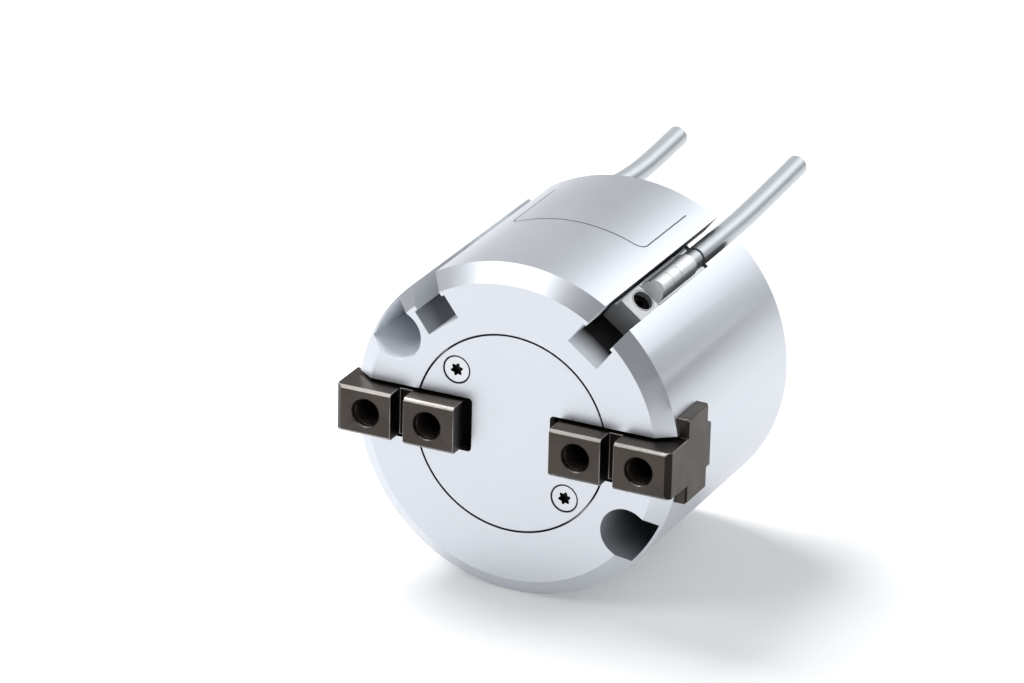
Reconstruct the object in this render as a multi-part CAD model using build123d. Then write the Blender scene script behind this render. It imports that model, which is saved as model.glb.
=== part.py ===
from build123d import *
import math
import os

os.makedirs("parts", exist_ok=True)

# A round pneumatic gripper with two jaws that open and close together on one diameter.
# Each piece is drawn as seen from the front: X runs along the jaws, Y points up and
# Z comes out of the front face, with z = 0 on the rear mounting face. The last lines
# turn every piece so that the gripper lies along Y, front face towards -Y, +Z up.
# Millimetres throughout.

# Clearances
slide_gap = 0.05            # each side of a part that slides on flat faces
turned_gap = 0.03           # radial, round parts that slide in each other
seat_gap = 0.02             # radial, round parts that sit still in each other
end_gap = 0.10              # left at each end of a stroke

# Housing
body_diameter = 62.0
front_chamfer_radial = 3.2
front_chamfer_axial = 2.5
rear_chamfer = 0.5
bore_diameter = 38.0
cap_diameter = 40.0

# Rear end, from the mounting face inwards
ring_setback = 0.8
ring_thickness = 1.75
ring_groove_diameter = 42.5
ring_width = 2.8            # across the ring, opposite its gap
ring_gap_width = 2.2        # across the ring, beside its gap
ring_eye_radius = 2.1
ring_eye_hole = 1.8
ring_eye_angle = 10.0       # each side of the gap
cap_thickness = 3.4
cap_seal_width = 1.4
cap_seal_depth = 1.45
cap_dish_radius = 12.4
cap_dish_depth = 0.6
spanner_hole_diameter = 2.5
spanner_hole_depth = 1.8
spanner_hole_radius = 15.0

# Piston
magnet_holder_thickness = 2.4
magnet_space = 2.2
piston_flange = 4.8
piston_play = 0.1           # radial, between piston and bore
piston_boss_radius = 14.6
piston_seal_width = 2.4
piston_seal_depth = 2.2
opening_travel = 4.4        # piston towards the front, jaws outwards
closing_travel = 2.0        # piston towards the rear, jaws inwards
rod_diameter = 12.0
spigot_diameter = 8.0
piston_screw_diameter = 4.0
piston_screw_length = 12.0
piston_screw_head = 7.4

# Bumpers at both ends of the stroke
bumper_inner_radius = 11.0
bumper_width = 3.0
bumper_thickness = 1.5
bumper_proud = 0.25

# Wall between the cylinder and the wedge pocket
seal_washer_thickness = 0.8
rod_seal_height = 2.6
rod_seal_radius = 9.0
seal_v_half = 0.5
seal_v_depth = 1.1
rod_bush_length = 3.5
rod_bush_wall = 1.0

# Wedge cam and the pocket it moves in; depths are measured from the front face
wedge_slope = 0.625         # sideways jaw travel for each unit of piston travel
cam_front_depth = 7.8
cam_length = 10.0
cam_half_height = 6.9
cam_rear_gap = 0.75
cam_pocket_side = 14.3
cam_pocket_gap = 0.3
pocket_corner = 1.5

# Front cover
cover_diameter = 36.4
cover_thickness = 2.0
cover_edge_gap = 0.35       # the dark line round the cover
cover_screw_radius = 14.6
cover_screw_angle = 43.3    # above the jaw axis, on the left; below it on the right
cover_screw_diameter = 2.5
cover_screw_head = 4.7
cover_screw_length = 7.0
cover_screw_sink = 0.1
cover_screw_rim = 0.2       # height of the head's straight rim
cover_screw_ring = 0.28     # the dark ring round each screw head
cover_screw_play = 0.15
star_radius = 1.22
star_wave = 0.17            # half the lobes' height, as a share of the radius
star_depth = 1.1
star_lobes = 6
star_steps = 6              # flat faces for each lobe
star_turn = 15.0

# Jaws
jaw_neck_half = 4.4
jaw_slot_half = 5.0
jaw_notch_start = 7.55      # where the cover is cut away for the jaw
jaw_notch_corner = 0.7
jaw_block_start = 9.15
jaw_block_height = 4.0      # above the front face
jaw_end = 32.2
jaw_groove_start = 19.0
jaw_groove_end = 21.45
jaw_groove_floor = 0.2      # above the front face
jaw_edge_chamfer = 0.5
jaw_end_bevel = 1.0
jaw_hole_first = 14.3
jaw_hole_spacing = 12.0
jaw_hole_diameter = 5.0     # core of an M6 thread
jaw_hole_depth = 11.0
jaw_hole_countersink = 0.25
flange_front = 3.5
flange_height = 8.5
flange_half = 8.0
flange_left_cut = 2.3       # the left jaw's flange ends this much earlier, inside the wall
flange_chamfer = 0.35
rib_half = 4.1
rib_height = 1.3
lobe_depth = 16.0
lobe_end = 13.7
face_depth = 5.0            # depth at which face_offset is measured, and where the hook starts
face_offset = 4.65          # jaw's sloping face from the axis, at face_depth
hook_stem = 1.5
hook_stem_half = 1.9
hook_head = 1.5
hook_head_half = 3.5

# Fixing holes
bolt_circle_radius = 26.45
bolt_angle = 32.5
bolt_clearance_diameter = 5.5
counterbore_diameter = 9.3
counterbore_depth = 18.0
counterbore_skin = 0.5      # thin wall left outside a counterbore
rear_thread_diameter = 4.2  # core of an M5 thread
rear_thread_depth = 10.0
dowel_diameter = 3.0
dowel_depth = 6.0
dowel_inset = 1.6           # inside the bolt circle, below the axis

# Air ports, on the side away from the right jaw
port_thread_diameter = 4.2  # core of an M5 thread
port_floor_radius = 23.0
port_front_height = 25.5
port_rear_height = 9.2
port_orifice_diameter = 2.0
air_way_diameter = 2.5
air_way_radius = 16.5

# Sensor slots, open at both ends
slot_angle = 53.0           # above the jaw axis, on both sides
slot_wall = 2.1             # metal between the cap's bore and a slot's floor
slot_chamber_height = 4.7
slot_chamber_width = 7.0
slot_neck_width = 5.8

# Sensors; depths are measured from the front face
sensor_right_front = 13.7
sensor_left_setback = 6.4   # the left one reads the other end of the stroke
sensor_foot_width = 6.4
sensor_foot_height = 3.4
sensor_strip_width = 5.2
sensor_height = 6.3         # top of the flat strip, above the slot's floor
sensor_round_radius = 2.15
sensor_round_length = 20.9  # front edge to the end of the round part
sensor_collar_length = 3.8  # the strain relief behind it, in a half-open seat
sensor_slope = 14.0
sensor_front_drop = 1.5     # how far the sloping front starts below the strip
nose_slope = 50.0           # of the round part's front end, behind the clamp screw
clamp_distance = 3.6        # front edge to the clamp screw
clamp_hole_diameter = 3.7
clamp_ring_radius = 2.15    # a fine groove round the clamp screw's hole
clamp_screw_recess = 1.2
clamp_key_width = 1.5
clamp_key_depth = 1.4
seam_places = (6.7, 11.4, 14.8)
seam_width = 0.14
seam_depth = 0.12
collar_radius = 1.85
collar_gap = 0.05
collar_neck_radius = 1.45   # at both ends of the collar, a dark ring between two light ones
collar_neck_length = 0.45
lead_diameter = 4.0

# Places that follow from the sizes above, from the mounting face
ring_groove_width = ring_thickness + end_gap
cap_rear = ring_setback + ring_groove_width
cap_front = cap_rear + cap_thickness
piston_length = magnet_holder_thickness + magnet_space + piston_flange
piston_rear = cap_front + bumper_proud + end_gap + closing_travel
piston_front = piston_rear + piston_length
boss_rear = piston_rear + magnet_holder_thickness
wall_rear = piston_front + opening_travel + end_gap + bumper_proud
wall_thickness = seal_washer_thickness + rod_seal_height + rod_bush_length
wall_front = wall_rear + wall_thickness
pocket_depth = cam_front_depth + cam_length + closing_travel + cam_rear_gap
body_length = wall_front + pocket_depth

# Half sizes and cut depths
body_radius = body_diameter / 2
bore_radius = bore_diameter / 2
cap_radius = cap_diameter / 2
rod_radius = rod_diameter / 2
flange_rear = flange_front + flange_height + 2 * slide_gap
rib_rear = flange_rear + rib_height
bumper_outer_radius = bumper_inner_radius + bumper_width
sensor_length = sensor_round_length + sensor_collar_length
slot_floor_radius = cap_radius + slot_wall
sensor_top_radius = slot_floor_radius + sensor_height
beyond = 5.0                # how far a cutting shape runs past the metal


def front(depth):
    """Height of a point that lies at this depth below the front face."""
    return body_length - depth


def face_at(depth):
    """Sideways place of the jaw's sloping face at a depth, at rest."""
    return face_offset + wedge_slope * (depth - face_depth)


def bar(radius, low, high, x=0.0, y=0.0):
    """A round bar along Z between two heights."""
    return Pos(x, y, (low + high) / 2) * Cylinder(radius, high - low)


def tube(outer, inner, low, high):
    """A plain ring about the axis."""
    return bar(outer, low, high) - bar(inner, low, high)


def block(x_low, x_high, y_low, y_high, low, high):
    """A box given by its limits."""
    middle = Pos((x_low + x_high) / 2, (y_low + y_high) / 2, (low + high) / 2)
    return middle * Box(x_high - x_low, y_high - y_low, high - low)


def cone(radius_low, radius_high, low, high, x=0.0, y=0.0):
    """A cone along Z, for countersinks and chamfers."""
    return Pos(x, y, (low + high) / 2) * Cone(radius_low, radius_high, high - low)


def turned(points):
    """A solid of revolution about the axis, from (radius, height) points."""
    return revolve(Plane.XZ * make_face(Polyline(*points, close=True)), Axis.Z)


def prism(points, half_width):
    """A solid of even width across Y, from (x, depth) points."""
    outline = Polyline(*[(x, front(depth)) for x, depth in points], close=True)
    return extrude(Plane.XZ * make_face(outline), half_width, both=True)


def around(radius, angle):
    """X and Y of a point on a circle about the axis."""
    return radius * math.cos(math.radians(angle)), radius * math.sin(math.radians(angle))


def hexagon_key(across, low, high, x=0.0, y=0.0):
    """A six-sided socket."""
    flats = RegularPolygon(across / 2, 6, major_radius=False)
    return extrude(Plane.XY.offset(low) * Pos(x, y) * flats, high - low)


# Housing

def slot_cutter():
    """The T shape of a sensor slot, pointing up the Y axis."""
    top = slot_floor_radius + slot_chamber_height
    chamber = block(-slot_chamber_width / 2, slot_chamber_width / 2, slot_floor_radius, top,
                    -beyond, body_length + beyond)
    neck = block(-slot_neck_width / 2, slot_neck_width / 2, top, body_radius + beyond,
                 -beyond, body_length + beyond)
    return chamber + neck


def jaw_way():
    """The T-shaped way across the front in which both jaws slide, and the cam's pocket."""
    far = body_radius + beyond
    lip = front(flange_front)
    neck = block(-far, far, -jaw_slot_half, jaw_slot_half, lip, body_length + beyond)
    side = flange_half + slide_gap
    flange = block(-far, far, -side, side, front(flange_rear), lip)
    groove_half = rib_half + slide_gap
    groove = block(-far, far, -groove_half, groove_half, front(rib_rear + slide_gap), front(flange_rear))
    opened = opening_travel * wedge_slope
    lobe_side = lobe_end + opened + slide_gap
    lobe_floor = front(lobe_depth + cam_pocket_gap)
    lobes = block(-lobe_side, lobe_side, -groove_half, groove_half, lobe_floor, front(flange_rear))
    pocket_half = cam_half_height + cam_pocket_gap
    pocket = RectangleRounded(2 * cam_pocket_side, 2 * pocket_half, pocket_corner)
    cam = extrude(Plane.XY.offset(wall_front) * pocket, body_length - wall_front)
    return neck + flange + groove + lobes + cam


def cylinder_bores():
    """Cap seat, ring groove, cylinder bore and the stepped hole for the piston rod."""
    cap_seat = bar(cap_radius, -beyond, cap_front)
    groove = bar(ring_groove_diameter / 2, ring_setback, ring_setback + ring_groove_width)
    bore = bar(bore_radius, cap_front, wall_rear)
    seal_pocket = bar(rod_seal_radius, wall_rear, wall_rear + seal_washer_thickness + rod_seal_height)
    bush_hole = bar(rod_radius + rod_bush_wall, wall_rear, wall_front)
    buried = bumper_thickness - bumper_proud
    bumper = tube(bumper_outer_radius, bumper_inner_radius, wall_rear, wall_rear + buried)
    return cap_seat + groove + bore + seal_pocket + bush_hole + bumper


def air_port(height, orifice, inner_radius):
    """An M5 port from the -X side with a smaller way on to the inside."""
    thread = bar(port_thread_diameter / 2, port_floor_radius, body_radius + beyond)
    way = bar(orifice / 2, inner_radius, port_floor_radius)
    return Pos(0, 0, height) * Rot(0, -90, 0) * (thread + way)


def counterbore():
    """Recess for a bolt's head on the X axis, drawn out towards the wall, where a thin skin is left."""
    radius = counterbore_diameter / 2
    floor = front(counterbore_depth)
    top = body_length + beyond
    recess = bar(radius, floor, top, bolt_circle_radius)
    outermost = bolt_circle_radius + body_radius
    recess += block(bolt_circle_radius, outermost, -radius, radius, floor, top)
    return recess & bar(body_radius - counterbore_skin, floor, top)


def housing():
    shape = turned([
        (0, 0), (body_radius - rear_chamfer, 0), (body_radius, rear_chamfer),
        (body_radius, front(front_chamfer_axial)), (body_radius - front_chamfer_radial, body_length),
        (0, body_length)])
    shape -= cylinder_bores()
    recess = bar(cover_diameter / 2 + cover_edge_gap, front(cover_thickness), body_length + beyond)
    shape -= recess + jaw_way()
    for turn in (slot_angle - 90, 90 - slot_angle):
        shape -= Rot(0, 0, turn) * slot_cutter()
    for angle in (180 - bolt_angle, -bolt_angle):
        x, y = around(bolt_circle_radius, angle)
        shape -= bar(bolt_clearance_diameter / 2, -beyond, front(counterbore_depth), x, y)
        shape -= Rot(0, 0, angle) * counterbore()
    for angle in (bolt_angle, 180 + bolt_angle):
        x, y = around(bolt_circle_radius, angle)
        shape -= bar(rear_thread_diameter / 2, -beyond, rear_thread_depth, x, y)
    shape -= bar(dowel_diameter / 2, -beyond, dowel_depth, 0, dowel_inset - bolt_circle_radius)
    for x, y in cover_screw_places():
        bottom = front(cover_screw_sink + cover_screw_length + end_gap)
        shape -= bar(cover_screw_diameter / 2, bottom, front(cover_thickness), x, y)
    shape -= air_port(port_front_height, air_way_diameter, air_way_radius - air_way_diameter / 2)
    shape -= bar(air_way_diameter / 2, wall_rear, port_front_height, -air_way_radius, 0)
    shape -= air_port(port_rear_height, port_orifice_diameter, bore_radius - beyond)
    return shape


# Cover and its screws

def cover_screw_places():
    """Centres of the two cover screws, upper left and lower right."""
    upper = around(cover_screw_radius, 180 - cover_screw_angle)
    lower = around(cover_screw_radius, -cover_screw_angle)
    return [upper, lower]


def front_cover():
    radius = cover_diameter / 2
    shape = bar(radius, front(cover_thickness), body_length)
    reach = radius + beyond
    notch = RectangleRounded(reach - jaw_notch_start, 2 * jaw_slot_half, jaw_notch_corner)
    middle = (reach + jaw_notch_start) / 2
    for side in (-1, 1):
        base = Plane.XY.offset(front(cover_thickness))
        shape -= extrude(base * Pos(side * middle, 0) * notch, cover_thickness)
    head = cover_screw_head / 2
    shank = cover_screw_diameter / 2 + cover_screw_play
    rim = front(cover_screw_sink + cover_screw_rim)
    seat = head + seat_gap
    for x, y in cover_screw_places():
        shape -= bar(shank, front(cover_thickness), body_length, x, y)
        shape -= cone(shank, seat, rim - (seat - shank), rim, x, y)
        shape -= bar(head + cover_screw_ring, rim, body_length, x, y)
    return shape


def star_socket(top):
    """A driver socket whose radius rises and falls in a wave, one crest for each lobe."""
    middle = (1 - star_wave) * star_radius
    points = []
    for step in range(star_lobes * star_steps):
        angle = 360 * step / (star_lobes * star_steps)
        wave = star_wave * star_radius * math.cos(math.radians(star_lobes * angle))
        points.append(around(middle + wave, angle + star_turn))
    outline = make_face(Polyline(*points, close=True))
    return extrude(Plane.XY.offset(top - star_depth) * outline, star_depth)


def cover_screw():
    """One countersunk screw on the axis, head just below the cover's face."""
    top = front(cover_screw_sink)
    head = cover_screw_head / 2
    shank = cover_screw_diameter / 2 - seat_gap
    tip = top - cover_screw_length
    rim = top - cover_screw_rim
    shape = turned([(0, top), (head, top), (head, rim), (shank, rim - (head - shank)),
                    (shank, tip + shank / 3), (shank * 2 / 3, tip), (0, tip)])
    return shape - star_socket(top)


# Pieces in the cylinder

def cap_groove(play):
    """The space of the seal round the cap, larger by the play on every side."""
    middle = (cap_rear + cap_front) / 2
    half = cap_seal_width / 2 + play
    return tube(cap_radius + play, cap_radius - cap_seal_depth - play, middle - half, middle + half)


def rear_cap():
    shape = bar(cap_radius - seat_gap, cap_rear, cap_front) - cap_groove(end_gap)
    buried = bumper_thickness - bumper_proud
    shape -= tube(bumper_outer_radius, bumper_inner_radius, cap_front - buried, cap_front)
    shape -= bar(cap_dish_radius, cap_rear, cap_rear + cap_dish_depth)
    for side in (-1, 1):
        x = side * spanner_hole_radius
        shape -= bar(spanner_hole_diameter / 2, cap_rear, cap_rear + spanner_hole_depth, x)
    return shape


def cap_seal():
    """Square-section ring in the groove round the cap."""
    return cap_groove(-seat_gap)


def retaining_ring():
    """Internal snap ring, thinner towards the gap at its foot, with an eye each side of the gap."""
    outer = ring_groove_diameter / 2 - end_gap
    low = cap_rear - ring_thickness
    shift = (ring_width - ring_gap_width) / 2
    inner = outer - ring_width + shift
    shape = bar(outer, low, cap_rear) - bar(inner, low, cap_rear, 0, -shift)
    eyes = [around(outer - ring_eye_radius, -90 + side * ring_eye_angle) for side in (-1, 1)]
    for x, y in eyes:
        shape += bar(ring_eye_radius, low, cap_rear, x, y)
    for x, y in eyes:
        shape -= bar(ring_eye_hole / 2, low, cap_rear, x, y)
    half_gap = outer * math.sin(math.radians(ring_eye_angle)) / 3
    return shape - block(-half_gap, half_gap, -outer, 0, low, cap_rear)


def bumper(face, side):
    """Soft stop ring let into an end face; side is +1 where the ring stands out towards +Z."""
    play = 2 * seat_gap
    proud = face + side * bumper_proud
    buried = proud - side * (bumper_thickness - play)
    low = min(proud, buried)
    high = max(proud, buried)
    return tube(bumper_outer_radius - play, bumper_inner_radius + play, low, high)


def rod_bush():
    outer = rod_radius + rod_bush_wall - seat_gap
    return tube(outer, rod_radius + turned_gap, wall_front - rod_bush_length, wall_front)


def rod_seal():
    """Lip seal with a V groove in the side that faces the pressure."""
    low = wall_rear + seal_washer_thickness
    inner = rod_radius + turned_gap
    outer = rod_seal_radius - seat_gap
    middle = (inner + outer) / 2
    return turned([(inner, low), (middle - seal_v_half, low), (middle, low + seal_v_depth),
                   (middle + seal_v_half, low), (outer, low), (outer, low + rod_seal_height),
                   (inner, low + rod_seal_height)])


def seal_washer():
    return tube(rod_seal_radius - seat_gap, rod_radius + 4 * turned_gap, wall_rear,
                wall_rear + seal_washer_thickness)


# Piston

def piston():
    radius = bore_radius - piston_play
    flange_low = boss_rear + magnet_space
    shape = bar(radius, flange_low, piston_front) + bar(piston_boss_radius, boss_rear, flange_low)
    middle = (flange_low + piston_front) / 2
    shape -= tube(radius + beyond, radius - piston_seal_depth, middle - piston_seal_width / 2,
                  middle + piston_seal_width / 2)
    return shape - bar(spigot_diameter / 2 + seat_gap, boss_rear, piston_front)


def piston_seal():
    """Double-lipped seal ring in the piston's groove."""
    middle = boss_rear + magnet_space + piston_flange / 2
    half = piston_seal_width / 2 - slide_gap
    outer = bore_radius - turned_gap
    inner = bore_radius - piston_play - piston_seal_depth + slide_gap
    waist = outer - seal_v_half
    return turned([(inner, middle - half), (outer, middle - half), (waist, middle - half / 3),
                   (waist, middle + half / 3), (outer, middle + half), (inner, middle + half)])


def ring_magnet():
    return tube(bore_radius - 3 * piston_play, piston_boss_radius + piston_play, boss_rear + slide_gap,
                boss_rear + magnet_space - slide_gap)


def magnet_holder():
    shape = bar(bore_radius - 2 * piston_play, piston_rear, boss_rear)
    shank = piston_screw_diameter / 2 + piston_play
    head = piston_screw_head / 2 + piston_play
    shape -= bar(shank, piston_rear, boss_rear)
    return shape - cone(head, shank, piston_rear, piston_rear + head - shank)


def piston_screw():
    shank = piston_screw_diameter / 2 - seat_gap
    head = piston_screw_head / 2
    low = piston_rear + seat_gap
    shape = bar(shank, low, low + piston_screw_length)
    shape += cone(head, shank, low, low + head - shank)
    return shape - hexagon_key(2.5, low, low + 1.3)


def wedge_cam():
    """Wedge with a sloping T slot on each side, in one piece with the piston rod."""
    rear_depth = cam_front_depth + cam_length
    near = face_at(cam_front_depth) - slide_gap
    wide = face_at(rear_depth) - slide_gap
    front_edge = [(-near, cam_front_depth), (near, cam_front_depth)]
    shape = prism(front_edge + [(wide, rear_depth), (-wide, rear_depth)],
                  cam_half_height)
    past = 1.0
    start, stop = cam_front_depth - past, rear_depth + past
    neck = hook_stem + hook_head / 2
    top = hook_stem - slide_gap
    bottom = hook_stem + hook_head + slide_gap
    slots = prism([(face_at(start) - neck, start), (face_at(start) + 1, start),
                   (face_at(stop) + 1, stop), (face_at(stop) - neck, stop)], hook_stem_half + slide_gap)
    slots += prism([(face_at(start) - bottom, start), (face_at(start) - top, start),
                    (face_at(stop) - top, stop), (face_at(stop) - bottom, stop)], hook_head_half + slide_gap)
    shape -= slots + Rot(0, 0, 180) * slots
    spigot_end = boss_rear + 0.5
    rod = bar(rod_radius, piston_front, front(rear_depth))
    rod += bar(spigot_diameter / 2, spigot_end, piston_front)
    rod -= bar(piston_screw_diameter / 2, spigot_end, piston_rear + piston_screw_length + 1)
    return shape + rod


# Jaws

def jaw(flange_end):
    """A jaw on the right side: two tapped blocks, T-shaped slide and the sloping hook."""
    top = flange_front + slide_gap
    low = top + flange_height
    flange = block(face_at(top) - beyond, flange_end, -flange_half, flange_half, front(low), front(top))
    flange = chamfer(flange.edges().group_by(Axis.X)[-1], flange_chamfer)
    flange -= prism([(face_at(top - 1), top - 1), (face_at(low + 1), low + 1), (-beyond, low + 1),
                     (-beyond, top - 1)], flange_half + 1)
    rib_low = low + rib_height - slide_gap
    rib = prism([(face_at(low - 1), low - 1), (jaw_end, low - 1), (jaw_end, rib_low), (lobe_end, rib_low),
                 (lobe_end, lobe_depth), (face_at(lobe_depth), lobe_depth)], rib_half)
    neck = block(jaw_block_start, jaw_end, -jaw_neck_half, jaw_neck_half, front(top + 1),
                 front(-jaw_block_height))
    neck = chamfer(neck.edges().filter_by(Axis.X).group_by(Axis.Z)[-1], jaw_edge_chamfer)
    neck -= block(jaw_groove_start, jaw_groove_end, -beyond, beyond, front(-jaw_groove_floor),
                  front(-jaw_block_height - 1))
    neck -= prism([(jaw_end - jaw_end_bevel, -jaw_block_height), (jaw_end, -jaw_block_height + jaw_end_bevel),
                   (jaw_end + 1, -jaw_block_height + jaw_end_bevel), (jaw_end + 1, -jaw_block_height - 1),
                   (jaw_end - jaw_end_bevel, -jaw_block_height - 1)], beyond)
    start, stop = face_depth, lobe_depth
    stem = prism([(face_at(start) - hook_stem - 0.5, start), (face_at(start) + 0.5, start),
                  (face_at(stop) + 0.5, stop), (face_at(stop) - hook_stem - 0.5, stop)], hook_stem_half)
    reach = hook_stem + hook_head
    head = prism([(face_at(start) - reach, start), (face_at(start) - hook_stem, start),
                  (face_at(stop) - hook_stem, stop), (face_at(stop) - reach, stop)], hook_head_half)
    shape = flange + rib + neck + stem + head
    for step in range(2):
        x = jaw_hole_first + step * jaw_hole_spacing
        mouth = front(-jaw_block_height)
        radius = jaw_hole_diameter / 2
        shape -= bar(radius, mouth - jaw_hole_depth, mouth, x)
        shape -= cone(radius, radius + jaw_hole_countersink, mouth - jaw_hole_countersink, mouth, x)
    return shape


# Sensors, drawn in a slot that points up the Y axis

def clamp_place(front_depth):
    """Plane at the middle of the clamp screw's hole, on the sensor's sloping front."""
    rise = clamp_distance * math.tan(math.radians(sensor_slope))
    height = sensor_top_radius - sensor_front_drop + rise
    tilt = math.radians(sensor_slope)
    normal = (0, math.cos(tilt), math.sin(tilt))
    return Plane(origin=(0, height, front(front_depth + clamp_distance)), x_dir=(1, 0, 0), z_dir=normal)


def nose_cutter(front_depth):
    """What is cut off at the front: a gentle slope for the clamp screw, then a steep one."""
    turn = clamp_distance + clamp_hole_diameter / 2
    rise = sensor_round_radius + beyond
    start = sensor_top_radius - sensor_front_drop
    gentle = math.tan(math.radians(sensor_slope))
    steep = math.tan(math.radians(nose_slope))
    points = [(-beyond, start - gentle * beyond), (turn, start + gentle * turn),
              (turn + rise / steep, start + gentle * turn + rise), (-beyond, start + gentle * turn + rise)]
    side = make_face(Polyline(*[(height, front(front_depth + along)) for along, height in points], close=True))
    return extrude(Plane.YZ * side, sensor_foot_width, both=True)


def sensor_housing(front_depth):
    low, high = front(front_depth + sensor_length), front(front_depth)
    foot_low = slot_floor_radius + slide_gap
    foot_high = foot_low + sensor_foot_height
    round_low = front(front_depth + sensor_round_length)
    foot = block(-sensor_foot_width / 2, sensor_foot_width / 2, foot_low, foot_high, low, high)
    strip = block(-sensor_strip_width / 2, sensor_strip_width / 2, foot_high, sensor_top_radius, low, high)
    barrel = bar(sensor_round_radius, round_low, high, 0, sensor_top_radius)
    for place in seam_places:
        middle = front(front_depth + place)
        seam = bar(sensor_round_radius + beyond, middle - seam_width / 2, middle + seam_width / 2)
        seam -= bar(sensor_round_radius - seam_depth, middle - seam_width / 2, middle + seam_width / 2)
        barrel -= Pos(0, sensor_top_radius, 0) * seam
    shape = foot + strip + barrel
    shape -= bar(collar_radius + collar_gap, low, round_low, 0, sensor_top_radius)
    shape -= nose_cutter(front_depth)
    place = clamp_place(front_depth)
    shape -= place * tube(clamp_ring_radius, clamp_ring_radius - seam_width, -seam_depth, beyond)
    shape -= place * Cylinder(clamp_hole_diameter / 2, 4 * beyond)
    return shape


def clamp_screw(front_depth):
    """Grub screw that jams the sensor in its slot."""
    place = clamp_place(front_depth)
    radius = clamp_hole_diameter / 2 - seat_gap
    floor_gap = place.origin.Y - slot_floor_radius - slide_gap
    lean = math.tan(math.radians(sensor_slope)) * radius
    length = floor_gap / math.cos(math.radians(sensor_slope)) - clamp_screw_recess - lean
    low = -clamp_screw_recess - length
    body = bar(radius, low, -clamp_screw_recess)
    body -= hexagon_key(clamp_key_width, -clamp_screw_recess - clamp_key_depth, -clamp_screw_recess)
    return place * body


def collar(front_depth):
    """Strain relief between the sensor and its lead, narrower at both ends."""
    low, high = front(front_depth + sensor_length), front(front_depth + sensor_round_length)
    shape = bar(collar_radius, low + collar_neck_length, high - collar_neck_length, 0, sensor_top_radius)
    return shape + bar(collar_neck_radius, low, high, 0, sensor_top_radius)


def lead(points):
    """A lead of round section along straight runs joined by arcs as large as the runs allow."""
    radii = []
    for before, corner, after in zip(points, points[1:], points[2:]):
        come, leave = Vector(*corner) - Vector(*before), Vector(*after) - Vector(*corner)
        shorter = min(come.length, leave.length)
        radii.append(0.45 * shorter / math.tan(math.radians(come.get_angle(leave) / 2)))
    route = FilletPolyline(*points, radius=radii)
    start = Plane(origin=route @ 0, z_dir=route % 0)
    shape = sweep(start * Circle(lead_diameter / 2), path=route)
    section = math.pi * (lead_diameter / 2) ** 2
    print("lead", round(route.length, 2), "mm long, volume over section times length",
          round(shape.volume / section / route.length, 4), "radii", [round(radius, 1) for radius in radii])
    return shape


left_front = sensor_right_front + sensor_left_setback

# Each lead's route behind its sensor: (towards the top of the slot, outwards from the gripper's axis,
# distance behind the sensor). Both are read off the photograph: the right one leans up a little,
# the left one leaves its slot straight, sinks behind the body and lifts a little towards its end.
right_route = [(0, 0, 0), (0, 0, 10.5), (0.2, 0.4, 24.5), (1.3, 1.7, 45.5)]
left_route = [(0, 0, 0), (0, 0, 7), (0.1, -2.1, 15), (0.6, -4.7, 24), (1.6, -5.3, 33),
              (2.3, -4.85, 42.5), (3.0, -4.2, 51.2)]


def route_points(route, side, start_depth):
    """The route as points in the slot's frame; side is +1 where the slot's top lies towards +X."""
    return [(side * up, sensor_top_radius + out, front(start_depth + behind)) for up, out, behind in route]


# Write every piece in the row's frame

def save(name, shape):
    export_step(shape.rotate(Axis.X, 90), "parts/" + name + ".step")


def save_group(name, shapes):
    save(name, Compound(children=shapes))


save("housing", housing())
save("front_cover", front_cover())
save_group("cover_screws", [Pos(x, y, 0) * cover_screw() for x, y in cover_screw_places()])
save("rear_cap", rear_cap())
save("rear_cap_seal", cap_seal())
save("retaining_ring", retaining_ring())
save("rod_bush", rod_bush())
save("rod_seal", rod_seal())
save("rod_seal_washer", seal_washer())
save("front_bumper", bumper(wall_rear, -1))
save("rear_bumper", bumper(cap_front, 1))
save("wedge_cam", wedge_cam())
save("piston", piston())
save("piston_seal", piston_seal())
save("ring_magnet", ring_magnet())
save("magnet_holder", magnet_holder())
save("piston_screw", piston_screw())
save("jaw_right", jaw(jaw_end))
save("jaw_left", Rot(0, 0, 180) * jaw(jaw_end - flange_left_cut))

for side, turn, sign, front_depth, route in (
        ("right", slot_angle - 90, -1, sensor_right_front, right_route),
        ("left", 90 - slot_angle, 1, left_front, left_route)):
    place = Rot(0, 0, turn)
    points = route_points(route, sign, front_depth + sensor_length)
    save("sensor_" + side, place * sensor_housing(front_depth))
    save("sensor_" + side + "_screw", place * clamp_screw(front_depth))
    save("sensor_" + side + "_collar", place * collar(front_depth))
    save("sensor_" + side + "_lead", place * lead(points))

print("housing", body_diameter, "mm across and", round(body_length, 3), "mm long")
print("piston", piston_rear, "to", piston_front, "wall", wall_rear, "to", wall_front)
print("jaw travel", -closing_travel * wedge_slope, "to", opening_travel * wedge_slope, "mm")
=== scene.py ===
# %% [markdown]
# # Dressing a small two jaw gripper
#
# The gripper is a short aluminium cylinder with two dark steel jaws in its front face. Its shapes come
# from a CAD model, which is loaded first and stays where it is. This file gives every piece a finish,
# rounds the edges that catch the light, and adds what a solid model leaves out: threads in the tapped
# holes, the printed frame on the body and the two soft leads.

import math

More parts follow.
